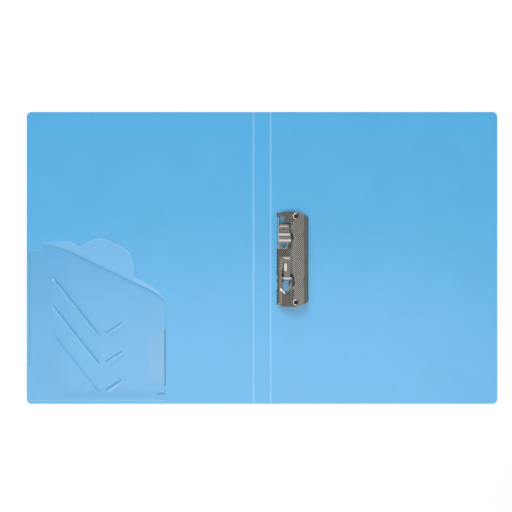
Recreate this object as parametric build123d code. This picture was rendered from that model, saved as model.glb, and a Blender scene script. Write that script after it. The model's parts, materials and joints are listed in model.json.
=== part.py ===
from build123d import *
import os

os.makedirs("parts", exist_ok=True)

# An A4 clip folder lying open and flat: two plastic covers and a spine, a pocket inside the front
# cover, and a steel lever clip riveted to the back cover beside the spine.
# Millimetres. X runs across the open folder, front cover on the left. Y runs up the covers.
# Z is up, and the folder lies on z = 0 with the middle of its spine at the origin.

# Plastic sheet
folder_height = 306.0
cover_width = 237.0
spine_width = 16.0
sheet_thickness = 0.9
corner_radius = 5.0

# Pressed creases, thinned strips that bend along both their edges
crease_width = 2.0
crease_thickness = 0.45
bend_clearance = 0.02

# Pocket inside the front cover, measured from the cover's free edge and its bottom edge
pocket_thickness = 0.5
pocket_rise = 2.0
pocket_width = 145.4
pocket_bottom = 2.6
pocket_flange_left = 2.6
pocket_flange_top = 161.2
pocket_left = 15.4
mouth_left_height = 169.3
mouth_knee = (46.2, 170.1)
mouth_right_start = (111.8, 132.8)
mouth_right_middle = (134.9, 121.6)
mouth_right_end = 104.7
tab_curve = ((56.6, 164.1), (64.5, 169.4), (76.5, 173.6), (94.6, 167.2), (106.8, 159.6),
             (111.9, 149.5), (112.2, 140.0))
flap_depth = 18.4
flap_bottom = 18.4
flap_top = 77.2
flap_slant = 6.0
slot_length = 7.4
slot_width = 1.0
slot_height = 10.0
slot_from_edge = 1.0

# Three chevrons pressed into the pocket, each of two straight grooves
chevron_count = 3
chevron_pitch = 29.9
groove_width = 2.2
groove_depth = 0.2
chevron_left_arm = ((27.8, 131.8), (75.1, 72.5))
chevron_right_arm = ((83.5, 73.0), (100.3, 84.0))

# Lever clip, placed on the back cover. Inside the clip, u runs like X and v like Y, from its middle.
# Its heights rise from the top of its base, and what is near its ends keeps its distance from them
clip_from_bend = 22.5
clip_middle_y = -1.6
plate_length = 99.0
plate_end = plate_length / 2
base_thickness = 1.0
base_top = sheet_thickness + base_thickness
base_end = plate_end - 1.3
base_left = -13.9
base_right = 15.9
base_corner_u = 4.0
base_corner_v = base_end - 5.6
jaw_thickness = 1.0
lip_u = 16.4
lip_gap = 0.3
jaw_shoulder = (12.4, base_top + 10.4)
jaw_crown = (0.6, base_top + 10.9)
valley_foot_u = -2.4
valley_z = base_top + 6.2
jaw_left_u = -16.1
shoulder_bend = 1.8
crown_bend = 1.5
valley_bend = 1.2
jaw_end_corner_u = 3.8
jaw_end_corner_v = plate_end - 5.3
jaw_left_corner_u = -10.4
jaw_left_corner_v = plate_end - 3.9
access_hole_radius = 2.2

# Hinge of the clamping plate: a long rod through curled knuckles, with two torsion springs on it
rod_u = -15.0
rod_radius = 1.1
rod_end_play = 0.3
rod_head_radius = 1.6
rod_head_length = 0.5
running_gap = 0.05
knuckle_wall = 0.85
jaw_knuckles = ((base_end - 3.5, base_end - 1.9), (2.4, 10.3), (-17.0, -10.3), (-35.3, -31.6))
base_knuckles = ((base_end - 1.6, base_end), (-10.0, -7.0), (-24.5, -21.5),
                 (0.8 - base_end, 3.8 - base_end))
spring_wire = 0.9
spring_gap = 0.2
spring_pitch = 1.05
spring_turns = 7
spring_leg = 7.0
spring_lift = 0.1
rod_z = base_top + spring_lift + spring_wire + spring_gap + rod_radius
upper_spring_v = -2.3
lower_spring_v = -39.85

# Lever, on a cross pin between two ears of the base
lever_thickness = 0.95
pin_v = -20.0
pin_z = base_top + 6.4
pin_radius = 1.1
pin_head_radius = 1.6
pin_head_length = 0.5
ear_thickness = 0.95
left_ear_u = -11.4
right_ear_u = -1.6
ear_head_radius = 2.3
ear_foot = 5.0
knuckle_side_gap = 0.35
strap_left = -9.6
strap_right = -3.4
strap_end_v = 1.2
ramp_top = (10.8, base_top + 13.1)
tab_crown = (23.0, base_top + 13.4)
tab_tip = (36.4, base_top + 13.0)
tab_nose = (37.2, base_top + 11.4)
tab_left = -15.2
tab_right = -1.9
tab_bottom_v = 18.6
ramp_right_u = -5.6
flange_drop = 3.4
flange_bottom_v = 19.2
flange_top_v = 34.6
rib_places = (34.2, 25.9, 19.4)
rib_radius = 0.8
rib_height = 0.45
half_moon_u = -10.05
half_moon_v = 15.5
half_moon_radius = 3.3
half_moon_flat_v = 16.8
bead_u = -7.9
bead_v = -8.4
bead_length = 8.4
bead_width = 2.6
bead_height = 0.6

# Openings through the clip
window_top = base_end - 3.6
window_bottom = 10.6
window_neck_v = base_end - 10.0
window_neck_u = -9.0
window_upper = (-5.2, base_end - 11.0)
window_point = (0.9, 21.5)
window_lower = (-1.0, 19.0)
window_end_u = -2.6
pivot_window = ((-12.2, -9.5), (-12.2, -31.0), (-6.2, -36.9), (-3.6, -33.8),
                (2.0, -25.5), (0.6, -18.0), (-3.4, -9.5))
base_window_bottom = 11.5
base_window_step = base_end - 11.7
base_window_right = -6.5
base_hole = (-10.3, -33.2, -4.5, -23.6)
press_rib_v = 1.6
press_rib_radius = 1.15
press_rib_gap = 0.3

# Rivets through base and cover
rivet_u = 2.5
rivet_v = base_end - 3.4
rivet_shank_radius = 1.6
rivet_hole_gap = 0.05
rivet_clinch_radius = 2.7
rivet_clinch_height = 0.6
rivet_head_radius = 4.0
rivet_head_height = 0.4
rivet_recess_gap = 0.1

# Worked out from the sizes above
half_height = folder_height / 2
bend_z = sheet_thickness / 2
inner_bend_x = spine_width / 2
outer_bend_x = inner_bend_x + crease_width
edge_back = crease_thickness / 2 + bend_clearance
free_edge_x = outer_bend_x + cover_width
clip_x = outer_bend_x + clip_from_bend
clip_place = Pos(clip_x, clip_middle_y, 0)
rod_bore = rod_radius + running_gap
pin_bore = pin_radius + running_gap
knuckle_radius = rod_bore + knuckle_wall
strap_top = pin_z + pin_bore + lever_thickness
strap_bottom = strap_top - lever_thickness
far = 200.0


def block(x0, x1, y0, y1, z0, z1):
    """A box between two corners."""
    return Pos((x0 + x1) / 2, (y0 + y1) / 2, (z0 + z1) / 2) * Box(x1 - x0, y1 - y0, z1 - z0)


def plate(outline, low, high):
    """A flat plate of a closed outline in X and Y, from one height to another."""
    face = make_face(Polyline(*outline, close=True))
    return Pos(0, 0, low) * extrude(face, amount=high - low, dir=(0, 0, 1))


def upright(x, y, radius, low, high):
    """A round post standing on a point."""
    return Pos(x, y, (low + high) / 2) * Cylinder(radius, high - low)


def along_y(u, z, radius, v0, v1):
    """A round bar that runs along Y."""
    return Pos(u, (v0 + v1) / 2, z) * Rot(90, 0, 0) * Cylinder(radius, v1 - v0)


def along_x(v, z, radius, u0, u1):
    """A round bar that runs along X."""
    return Pos((u0 + u1) / 2, v, z) * Rot(0, 90, 0) * Cylinder(radius, u1 - u0)


def write(name, shape):
    """Writes one piece, or one group of like pieces, under its name."""
    shape.label = name
    export_step(shape, f"parts/{name}.step")


# Covers, spine and creases
def cover_panel():
    """A cover from its bend line to its free edge, with its two free corners rounded."""
    panel = block(outer_bend_x + edge_back, free_edge_x, -half_height, half_height, 0, sheet_thickness)
    corners = panel.edges().filter_by(Axis.Z).group_by(Axis.X)[-1]
    return fillet(corners, corner_radius)


def crease_strip():
    """The thin strip beside the spine. Both its long edges are round about their bend lines."""
    low = bend_z - crease_thickness / 2
    strip = block(inner_bend_x, outer_bend_x, -half_height, half_height, low, low + crease_thickness)
    for bend_x in (inner_bend_x, outer_bend_x):
        strip += along_y(bend_x, bend_z, crease_thickness / 2, -half_height, half_height)
    return strip


def rivet_spots():
    """Both rivets' places on the back cover."""
    return [(clip_x + rivet_u, clip_middle_y + side * rivet_v) for side in (1, -1)]


def back_cover():
    """The right-hand cover, drilled for the rivets and recessed under their flat heads."""
    panel = cover_panel()
    for x, y in rivet_spots():
        panel -= upright(x, y, rivet_shank_radius + rivet_hole_gap, -1, sheet_thickness + 1)
        panel -= upright(x, y, rivet_head_radius + rivet_recess_gap, -1, rivet_head_height)
    return panel


def spine_panel():
    """The flat strip between the two creases."""
    half = inner_bend_x - edge_back
    return block(-half, half, -half_height, half_height, 0, sheet_thickness)


# Pocket
def on_cover(point):
    """A point given from the front cover's free edge and bottom edge."""
    return (point[0] - free_edge_x, point[1] - half_height)


def pocket_front():
    """The front of the pocket, with its slanting mouth and half-moon thumb tab."""
    corner = on_cover((pocket_left, pocket_bottom))
    lower_right = on_cover((pocket_width, pocket_bottom))
    mouth_end = on_cover((pocket_width, mouth_right_end))
    mouth_bend = on_cover(mouth_right_middle)
    mouth_start = on_cover(mouth_right_start)
    knee = on_cover(mouth_knee)
    upper_left = on_cover((pocket_left, mouth_left_height))
    edge = Polyline(mouth_start, knee, upper_left, corner, lower_right, mouth_end)
    edge += ThreePointArc(mouth_end, mouth_bend, mouth_start)
    tab_points = [on_cover(point) for point in tab_curve] + [mouth_start]
    tab = Spline(*tab_points) + Line(mouth_start, tab_points[0])
    outline = make_face(edge) + make_face(tab)
    under = sheet_thickness + pocket_rise - pocket_thickness
    return Pos(0, 0, under) * extrude(outline, amount=pocket_thickness, dir=(0, 0, 1))


def groove(start, end, drop):
    """One straight groove of a chevron, as the body to cut away."""
    (x0, y0), (x1, y1) = on_cover(start), on_cover(end)
    middle = Vector((x0 + x1) / 2, (y0 + y1) / 2 - drop, sheet_thickness + pocket_rise)
    run = Vector(x1 - x0, y1 - y0, 0)
    frame = Plane(origin=middle, x_dir=run, z_dir=(0, 0, 1))
    return frame * Box(run.length, groove_width, 2 * groove_depth)


def pocket_sheet():
    """One folded blank: front, side walls, the flange on the cover and the flap folded under."""
    low = sheet_thickness
    high = sheet_thickness + pocket_rise
    left = pocket_left - free_edge_x
    right = pocket_width - free_edge_x
    bottom = pocket_bottom - half_height
    wall = pocket_thickness
    sheet = pocket_front()
    sheet += block(left, left + wall, bottom, pocket_flange_top - half_height, low, high)
    sheet += block(left, right, bottom, bottom + wall, low, high)
    flange_left = pocket_flange_left - free_edge_x
    sheet += block(flange_left, left + wall, bottom, pocket_flange_top - half_height, low, low + wall)
    flap_low = flap_bottom - half_height
    flap_high = flap_top - half_height
    sheet += block(right - wall, right, flap_low, flap_high, low, high)
    flap = ((right, flap_low), (right, flap_high), (right - flap_depth, flap_high - flap_slant),
            (right - flap_depth, flap_low + flap_slant))
    sheet += plate(flap, low, low + wall)
    for number in range(chevron_count):
        for start, end in (chevron_left_arm, chevron_right_arm):
            sheet -= groove(start, end, number * chevron_pitch)
    slot_right = right - slot_from_edge
    slot_y = slot_height - half_height
    sheet -= block(slot_right - slot_length, slot_right, slot_y, slot_y + slot_width, low + wall, high + 1)
    return sheet


# Clip
def jaw_knuckle(v0, v1):
    """A curl of the clamping plate that comes down its left side and round under the rod."""
    wall_left = rod_u - knuckle_radius
    wall_right = wall_left + knuckle_wall
    curl = along_y(rod_u, rod_z, knuckle_radius, v0, v1)
    curl -= block(wall_right, rod_u - running_gap, v0, v1, rod_z, rod_z + knuckle_radius)
    curl += block(wall_left, wall_right, v0, v1, rod_z, valley_z)
    curl += block(wall_left, rod_u, v0, v1, valley_z - jaw_thickness, valley_z)
    return curl - along_y(rod_u, rod_z, rod_bore, v0, v1)


def base_knuckle(v0, v1):
    """A curl of the base that stands up beside the rod and goes over it."""
    wall_right = rod_u + knuckle_radius
    wall_left = wall_right - knuckle_wall
    curl = along_y(rod_u, rod_z, knuckle_radius, v0, v1)
    curl -= block(rod_u + running_gap, wall_left, v0, v1, rod_z - knuckle_radius, rod_z)
    curl += block(wall_left, wall_right, v0, v1, sheet_thickness, rod_z)
    return curl - along_y(rod_u, rod_z, rod_bore, v0, v1)


def jaw_outline():
    """The clamping plate seen from above, with its slanted ends."""
    left = rod_u - knuckle_radius
    upper = [(lip_u, jaw_end_corner_v), (jaw_end_corner_u, plate_end), (jaw_left_corner_u, plate_end),
             (left, jaw_left_corner_v)]
    lower = [(u, -v) for u, v in reversed(upper)]
    return upper + lower


def bent_sheet(points, radii, thickness, frame, half_width):
    """Sheet metal bent along a line of points, given on its outer face."""
    with BuildSketch(frame) as section:
        with BuildLine():
            FilletPolyline(*points, radius=radii)
            offset(amount=thickness, side=Side.LEFT)
        make_face()
    return extrude(section.sketch, amount=half_width, both=True)


def clamp_plate():
    """The plate that holds the paper: lip, top, valley under the lever, and knuckles on the rod."""
    points = ((lip_u, base_top), jaw_shoulder, jaw_crown, (valley_foot_u, valley_z), (jaw_left_u, valley_z))
    radii = [shoulder_bend, crown_bend, valley_bend]
    jaw = bent_sheet(points, radii, jaw_thickness, Plane.XZ, plate_end)
    jaw -= block(0, far, -far, far, 0, base_top + lip_gap)
    jaw = jaw & plate(jaw_outline(), -1, far)
    window = ((-far, window_bottom), (-far, window_top), (window_neck_u, window_top),
              (window_neck_u, window_neck_v), window_upper, window_point, window_lower,
              (window_end_u, window_bottom))
    jaw -= plate(window, -1, far)
    jaw -= plate(pivot_window, -1, far)
    for v0, v1 in jaw_knuckles:
        jaw += jaw_knuckle(v0, v1)
    for side in (1, -1):
        jaw -= upright(rivet_u, side * rivet_v, access_hole_radius, base_top, far)
    rib_top = strap_bottom - press_rib_gap
    jaw += along_x(press_rib_v, rib_top - press_rib_radius, press_rib_radius, strap_left, strap_right)
    return clip_place * jaw


def lever_ear(u0):
    """An upright ear of the base that holds one end of the cross pin."""
    side = ((pin_v - ear_foot, sheet_thickness), (pin_v + ear_foot, sheet_thickness),
            (pin_v + ear_head_radius, pin_z), (pin_v - ear_head_radius, pin_z))
    web = extrude(Plane.YZ * make_face(Polyline(*side, close=True)), amount=ear_thickness, dir=(1, 0, 0))
    return Pos(u0, 0, 0) * web + along_x(pin_v, pin_z, ear_head_radius, u0, u0 + ear_thickness)


def base_plate():
    """The plate riveted to the cover, with its curled knuckles and the lever's two ears."""
    outline = ((base_left, -base_end), (base_corner_u, -base_end), (base_right, -base_corner_v),
               (base_right, base_corner_v), (base_corner_u, base_end), (base_left, base_end))
    base = plate(outline, sheet_thickness, base_top)
    base -= block(base_left - 1, base_window_right, base_window_bottom, base_window_step, 0, base_top + 1)
    base -= block(base_left - 1, window_neck_u, base_window_step, window_top, 0, base_top + 1)
    u0, v0, u1, v1 = base_hole
    base -= block(u0, u1, v0, v1, 0, base_top + 1)
    left_inside = left_ear_u + ear_thickness
    right_inside = right_ear_u - ear_thickness
    base -= block(left_inside, right_inside, v1, pin_v + ear_foot, 0, base_top + 1)
    for start, end in base_knuckles:
        base += base_knuckle(start, end)
    base += lever_ear(left_ear_u) + lever_ear(right_inside)
    base -= along_x(pin_v, pin_z, pin_bore, left_ear_u - 1, right_ear_u + 1)
    for side in (1, -1):
        base -= upright(rivet_u, side * rivet_v, rivet_shank_radius + rivet_hole_gap, 0, base_top + 1)
    return clip_place * base


def lever():
    """The lever: knuckle on the pin, strap, ramp, and a ribbed thumb tab with turned-down edges."""
    points = (tab_nose, tab_tip, tab_crown, ramp_top, (strap_end_v, strap_top), (pin_v, strap_top))
    radii = [1.0, 12.0, 3.0, 3.0]
    half = -tab_left
    strip = bent_sheet(points, radii, lever_thickness, Plane.YZ, half)
    outline = ((strap_left, pin_v), (strap_left, strap_end_v), (tab_left, strap_end_v + 3),
               (tab_left, tab_nose[0]), (tab_right, tab_nose[0]), (tab_right, tab_bottom_v),
               (ramp_right_u, half_moon_v), (ramp_right_u, ramp_top[0]), (strap_right, strap_end_v),
               (strap_right, pin_v))
    arm = strip & plate(outline, 0, far)
    knuckle_left = left_ear_u + ear_thickness + knuckle_side_gap
    knuckle_right = right_ear_u - ear_thickness - knuckle_side_gap
    arm += along_x(pin_v, pin_z, pin_bore + lever_thickness, knuckle_left, knuckle_right)
    for edge in (tab_left, tab_right - lever_thickness):
        arm += block(edge, edge + lever_thickness, flange_bottom_v, flange_top_v,
                     tab_tip[1] - flange_drop, tab_tip[1] - lever_thickness / 2)
    for v in rib_places:
        rib_z = tab_tip[1] + rib_height - rib_radius
        arm += along_x(v, rib_z, rib_radius, tab_left + lever_thickness, tab_right - lever_thickness)
    bead = extrude(SlotOverall(bead_length, bead_width, rotation=90), amount=bead_height, dir=(0, 0, 1))
    arm += Pos(bead_u, bead_v, strap_top) * bead
    moon = upright(half_moon_u, half_moon_v, half_moon_radius, 0, far)
    moon -= block(half_moon_u - far, half_moon_u + far, half_moon_flat_v, far, 0, far)
    arm -= moon
    arm -= along_x(pin_v, pin_z, pin_bore, knuckle_left - 1, knuckle_right + 1)
    return clip_place * arm


def lever_pin():
    """The cross pin, headed outside both ears."""
    left = left_ear_u - pin_head_length
    right = right_ear_u + pin_head_length
    pin = along_x(pin_v, pin_z, pin_radius, left, right)
    pin += along_x(pin_v, pin_z, pin_head_radius, left, left_ear_u)
    pin += along_x(pin_v, pin_z, pin_head_radius, right_ear_u, right)
    return clip_place * pin


def hinge_rod():
    """The long rod through every knuckle, headed beyond the first and the last."""
    top = base_knuckles[0][1] + rod_end_play
    bottom = base_knuckles[-1][0] - rod_end_play
    rod = along_y(rod_u, rod_z, rod_radius, bottom, top)
    rod += along_y(rod_u, rod_z, rod_head_radius, top, top + rod_head_length)
    rod += along_y(rod_u, rod_z, rod_head_radius, bottom - rod_head_length, bottom)
    return clip_place * rod


def torsion_spring(middle_v):
    """A coil round the rod, with one leg on the base and one under the clamping plate."""
    coil_radius = rod_radius + spring_gap + spring_wire / 2
    half_turns = spring_turns + 0.5
    length = half_turns * spring_pitch
    helix = Helix(pitch=spring_pitch, height=length, radius=coil_radius)
    wire = Plane(origin=helix @ 0, z_dir=helix % 0) * Circle(spring_wire / 2)
    coil = sweep(wire, path=helix, is_frenet=True)
    coil = Pos(0, length / 2, 0) * Rot(90, 0, 0) * Rot(0, 0, -90) * coil
    for side in (1, -1):
        coil += along_x(side * length / 2, -side * coil_radius, spring_wire / 2, 0, spring_leg)
    return clip_place * Pos(rod_u, middle_v, rod_z) * coil


def rivet(x, y):
    """A rivet with a broad flat head under the cover and its clinched end on the base."""
    body = upright(x, y, rivet_shank_radius, 0, base_top + rivet_clinch_height)
    body += upright(x, y, rivet_head_radius, 0, rivet_head_height)
    body += upright(x, y, rivet_clinch_radius, base_top, base_top + rivet_clinch_height)
    return body


write("front_cover", mirror(cover_panel(), about=Plane.YZ))
write("front_crease", mirror(crease_strip(), about=Plane.YZ))
write("spine_panel", spine_panel())
write("back_crease", crease_strip())
write("back_cover", back_cover())
write("pocket_sheet", pocket_sheet())
write("base_plate", base_plate())
write("clamp_plate", clamp_plate())
write("lever", lever())
write("lever_pin", lever_pin())
write("hinge_rod", hinge_rod())
write("upper_spring", torsion_spring(upper_spring_v))
write("lower_spring", torsion_spring(lower_spring_v))
for rivet_name, (rivet_x, rivet_y) in zip(("upper_rivet", "lower_rivet"), rivet_spots()):
    write(rivet_name, rivet(rivet_x, rivet_y))
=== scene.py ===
import json
import math

import bpy
from bpy.props import FloatProperty, FloatVectorProperty, PointerProperty
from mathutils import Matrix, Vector


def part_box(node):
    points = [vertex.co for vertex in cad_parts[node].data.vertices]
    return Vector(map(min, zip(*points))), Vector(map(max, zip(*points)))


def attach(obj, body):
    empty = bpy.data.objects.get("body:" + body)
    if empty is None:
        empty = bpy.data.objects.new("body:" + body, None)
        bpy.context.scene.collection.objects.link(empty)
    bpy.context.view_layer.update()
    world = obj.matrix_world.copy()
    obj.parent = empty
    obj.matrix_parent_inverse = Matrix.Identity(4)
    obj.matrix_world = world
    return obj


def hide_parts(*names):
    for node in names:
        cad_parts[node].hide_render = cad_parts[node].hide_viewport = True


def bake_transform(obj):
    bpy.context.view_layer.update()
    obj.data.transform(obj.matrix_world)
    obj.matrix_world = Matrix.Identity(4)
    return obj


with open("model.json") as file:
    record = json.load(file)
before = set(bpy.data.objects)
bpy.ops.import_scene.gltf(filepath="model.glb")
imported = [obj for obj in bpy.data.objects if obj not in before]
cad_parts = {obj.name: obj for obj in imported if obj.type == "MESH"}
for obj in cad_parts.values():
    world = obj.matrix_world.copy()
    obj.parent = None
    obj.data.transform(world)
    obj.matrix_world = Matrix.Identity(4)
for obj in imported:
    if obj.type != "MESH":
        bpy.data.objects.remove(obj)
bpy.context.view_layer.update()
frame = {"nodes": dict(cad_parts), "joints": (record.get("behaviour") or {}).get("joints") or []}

bl_info = {
    "name": "Lever clip folder",
    "version": (1, 0, 0),
    "blender": (4, 5, 0),
    "location": "View3D > Sidebar > Folder",
    "description": "Builds an open A4 folder with an inside pocket and a steel lever clip",
    "category": "Object",
}

NODES = frame["nodes"]
MM = 0.001

# Places that the pieces share with the frame, in millimetres
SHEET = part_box("back_cover")[1].z / MM
HALF_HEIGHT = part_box("back_cover")[1].y / MM
FREE_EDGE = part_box("back_cover")[1].x / MM
INNER_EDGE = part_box("back_cover")[0].x / MM
SPINE_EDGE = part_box("spine_panel")[1].x / MM
CREASE_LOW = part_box("back_crease")[0].z / MM
CREASE_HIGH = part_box("back_crease")[1].z / MM
OUTER_BEND = frame["joints"][0]["pos_m"][0] / MM
INNER_BEND = frame["joints"][1]["pos_m"][0] / MM
CREASE_MIDDLE = (OUTER_BEND + INNER_BEND) / 2

# Sizes of the covers and creases, in millimetres
CORNER_RADIUS = 5.0
CORNER_STEPS = 10
RECESS_RADIUS = 4.1
RECESS_DEPTH = 0.4
RIVET_HOLE_RADIUS = 1.65
BEND_HALF = 0.6
STRIP_TONGUE = 0.35
STRIP_PARTS = 14


# Sizes and colours that a user would change
class FolderSettings(bpy.types.PropertyGroup):
    sheet_blue: FloatVectorProperty(
        name="Sheet", description="Colour of the covers and the spine", subtype="COLOR",
        default=(0.077, 0.432, 0.785), min=0, max=1)
    crease_blue: FloatVectorProperty(
        name="Crease", description="Colour of the thinned creases", subtype="COLOR",
        default=(0.17, 0.53, 0.86), min=0, max=1)
    sheet_roughness: FloatProperty(
        name="Roughness", description="Roughness of the sheet", default=0.29, min=0, max=1)
    grain_size: FloatProperty(
        name="Grain", description="Size of the sheet's fine grain, in metres", unit="LENGTH",
        default=0.0009, min=0.0001, max=0.01)
    rim: FloatProperty(
        name="Rim", description="Width of the softened rim of the sheet, in metres", unit="LENGTH",
        default=0.00018, min=0, max=0.0004)


class PocketSettings(bpy.types.PropertyGroup):
    film_thickness: FloatProperty(
        name="Film", description="Thickness of the clear film, in metres", unit="LENGTH",
        default=0.0004, min=0.0001, max=0.0008)
    film_gloss: FloatProperty(
        name="Gloss", description="Share of clear plastic's full mirror that the film keeps",
        default=0.4, min=0, max=1)
    press_depth: FloatProperty(
        name="Chevron depth", description="Depth of the pressed chevrons, in metres", unit="LENGTH",
        default=0.0006, min=0, max=0.0012)


class ClipSettings(bpy.types.PropertyGroup):
    # On the embossed plates this colour is the painted highlight on the crests of the pattern; on
    # the base it is one end of the plating's tarnish.
    bright: FloatVectorProperty(
        name="Plating", description="Colour of the clip's plating where it is worn bright",
        subtype="COLOR", default=(0.25, 0.235, 0.21), min=0, max=1)
    # On the embossed plates this colour is painted shade in the hollows of the pattern; on the base
    # it is the other end of the plating's tarnish.
    dark: FloatVectorProperty(
        name="Hollows", description="Colour of the plating in the hollows of its pattern",
        subtype="COLOR", default=(0.006, 0.006, 0.005), min=0, max=1)
    roughness: FloatProperty(
        name="Roughness", description="Roughness of the plating", default=0.38, min=0, max=1)
    emboss_depth: FloatProperty(
        name="Embossing", description="Depth of the diamond pattern, in metres", unit="LENGTH",
        default=0.00015, min=0, max=0.0003)


class StageSettings(bpy.types.PropertyGroup):
    floor_colour: FloatVectorProperty(
        name="Floor", description="Colour of the floor", subtype="COLOR",
        default=(0.86, 0.86, 0.86), min=0, max=1)
    floor_lift: FloatProperty(
        name="Lift", description="Light that the floor adds near the folder to what is seen of it",
        default=0.22, min=0, max=1)
    camera_height: FloatProperty(
        name="Camera height", description="Height of the camera over the folder, in metres",
        unit="LENGTH", default=1.3, min=0.5, max=5)
    frame_width: FloatProperty(
        name="Frame width", description="Width of the picture at the folder, in metres",
        unit="LENGTH", default=0.5376, min=0.1, max=2)
    camera_x: FloatProperty(
        name="Camera X", description="Middle of the picture across the folder, in metres",
        unit="LENGTH", default=-0.0063, min=-1, max=1)
    camera_y: FloatProperty(
        name="Camera Y", description="Middle of the picture up the folder, in metres",
        unit="LENGTH", default=0.0018, min=-1, max=1)
    world_level: FloatProperty(
        name="World", description="Strength of the light from all round", default=0.3, min=0, max=5)
    key_power: FloatProperty(
        name="Key", description="Power of the large soft lamp beyond the upper edge", default=112,
        min=0, max=500)
    sheen_power: FloatProperty(
        name="Sheen", description="Power of the panel whose light the sheet mirrors", default=10.2,
        min=0, max=500)


# Modelling helpers
def clear_selection():
    """Leaves edit mode and deselects every object."""
    if bpy.context.object and bpy.context.object.mode != "OBJECT":
        bpy.ops.object.mode_set(mode="OBJECT")
    bpy.ops.object.select_all(action="DESELECT")


def take_up(obj):
    """Selects one object and makes it active."""
    clear_selection()
    obj.select_set(True)
    bpy.context.view_layer.objects.active = obj


def choose(obj, kind, test=None):
    """Goes into edit mode and selects the vertices, edges or faces that pass a test, or all."""
    take_up(obj)
    mesh = obj.data
    bpy.ops.object.mode_set(mode="EDIT")
    bpy.ops.mesh.select_mode(type={"vertices": "VERT", "edges": "EDGE", "polygons": "FACE"}[kind])
    bpy.ops.mesh.select_all(action="DESELECT")
    bpy.ops.object.mode_set(mode="OBJECT")
    for element in getattr(mesh, kind):
        element.select = test is None or bool(test(element))
    bpy.ops.object.mode_set(mode="EDIT")


def cut_chosen(places, direction):
    """Cuts the chosen faces along planes through several places."""
    bpy.ops.mesh.hide(unselected=True)
    for place in places:
        bpy.ops.mesh.select_all(action="SELECT")
        bpy.ops.mesh.bisect(plane_co=place, plane_no=direction)
    bpy.ops.mesh.reveal(select=False)


def modified(obj, kind, **settings):
    """Adds a modifier and applies it."""
    take_up(obj)
    modifier = obj.modifiers.new(kind.title(), kind)
    for key, value in settings.items():
        setattr(modifier, key, value)
    bpy.ops.object.modifier_apply(modifier=modifier.name)


def softened(obj, width, angle):
    """Bevels the edges at which an object turns by more than an angle."""
    modified(obj, "BEVEL", width=width, segments=2, limit_method="ANGLE",
             angle_limit=math.radians(angle))


def settled(obj):
    """Puts an object's place, turn and size into its mesh."""
    take_up(obj)
    bpy.ops.object.transform_apply(location=True, rotation=True, scale=True)
    return obj


def finished(obj, name, body, replaced, material, angle):
    """Names a piece, gives it its finish, and ties it to the frame."""
    settled(obj)
    obj.name = name
    obj.data.name = name
    obj.data.materials.clear()
    obj.data.materials.append(material)
    bpy.ops.object.shade_smooth_by_angle(angle=math.radians(angle))
    if body:
        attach(obj, body)
    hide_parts(*replaced)


# Material helpers
def new_material(name):
    """A material with its node tree and its Principled shader."""
    material = bpy.data.materials.new(name)
    material.use_nodes = True
    return material, material.node_tree, material.node_tree.nodes["Principled BSDF"]


def feed(tree, target, inputs):
    """Fills a node's inputs, each with a value or from another node's output."""
    for key, value in inputs.items():
        if isinstance(value, bpy.types.NodeSocket):
            tree.links.new(value, target.inputs[key])
        else:
            target.inputs[key].default_value = value


def node(tree, kind, inputs, output=0, **settings):
    """Adds a shader node and gives back one of its outputs."""
    made = tree.nodes.new(kind)
    for key, value in settings.items():
        setattr(made, key, value)
    feed(tree, made, inputs)
    return made.outputs[output]


def maths(tree, operation, *values, clamp=False):
    """The result of a sum, a product or the like."""
    inputs = dict(enumerate(values))
    return node(tree, "ShaderNodeMath", inputs, operation=operation, use_clamp=clamp)


def noise(tree, place, scale, detail, roughness=0.5):
    """Cloudy noise whose scale counts in blobs to the metre."""
    inputs = {"Vector": place, "Scale": scale, "Detail": detail, "Roughness": roughness}
    return node(tree, "ShaderNodeTexNoise", inputs)


def mixed(tree, low, high, factor):
    """A colour that varies between two."""
    inputs = {"A": (*low, 1), "B": (*high, 1), "Factor": factor}
    return node(tree, "ShaderNodeMix", inputs, "Result", data_type="RGBA")


def clouded(tree, colour, share, factor):
    """A colour that varies by a share of itself, darker and lighter."""
    low, high = ([min(1, c * level) for c in colour] for level in (1 - share, 1 + share))
    return mixed(tree, low, high, factor)


def varied(tree, level, spread, factor):
    """A number that varies about a level."""
    inputs = {"To Min": level - spread, "To Max": level + spread, "Value": factor}
    return node(tree, "ShaderNodeMapRange", inputs)


def bumped(tree, height, strength, distance):
    """The surface's direction, turned by a fine relief."""
    inputs = {"Strength": strength, "Distance": distance, "Height": height}
    return node(tree, "ShaderNodeBump", inputs)


def ray_kinds(tree, *kinds):
    """1 for the rays of some kinds, and 0 for the others."""
    path = tree.nodes.new("ShaderNodeLightPath")
    found = path.outputs[kinds[0]]
    for kind in kinds[1:]:
        found = maths(tree, "MAXIMUM", found, path.outputs[kind])
    return found


PLASTIC_IOR = 1.49
SHEET_CLOUDS = 22.0
SHEET_CLOUD_SHARE = 0.06
SHEET_ROUGHNESS_SPREAD = 0.06
SHEET_RELIEF = (0.25, 0.00004)


def folder_material(name, colour, settings):
    """Thin polypropylene sheet: soft gloss, a fine grain and faint clouds in its colour."""
    material, tree, shader = new_material(name)
    place = node(tree, "ShaderNodeTexCoord", {}, "Object")
    clouds = noise(tree, place, SHEET_CLOUDS, 3.0)
    grain = noise(tree, place, 1 / settings.grain_size, 2.0, 0.6)
    feed(tree, shader, {
        "Base Color": clouded(tree, colour, SHEET_CLOUD_SHARE, clouds),
        "Roughness": varied(tree, settings.sheet_roughness, SHEET_ROUGHNESS_SPREAD, grain),
        "Normal": bumped(tree, grain, *SHEET_RELIEF),
        "IOR": PLASTIC_IOR})
    return material


# Covers, spine and creases
def flat(low_x, high_x, height):
    """A flat rectangle between two X places, as long as the folder is high."""
    clear_selection()
    middle = (low_x + high_x) / 2 * MM
    bpy.ops.mesh.primitive_plane_add(size=1, location=(middle, 0, height * MM))
    obj = bpy.context.object
    obj.scale = ((high_x - low_x) * MM, 2 * HALF_HEIGHT * MM, 1)
    return settled(obj)


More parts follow.
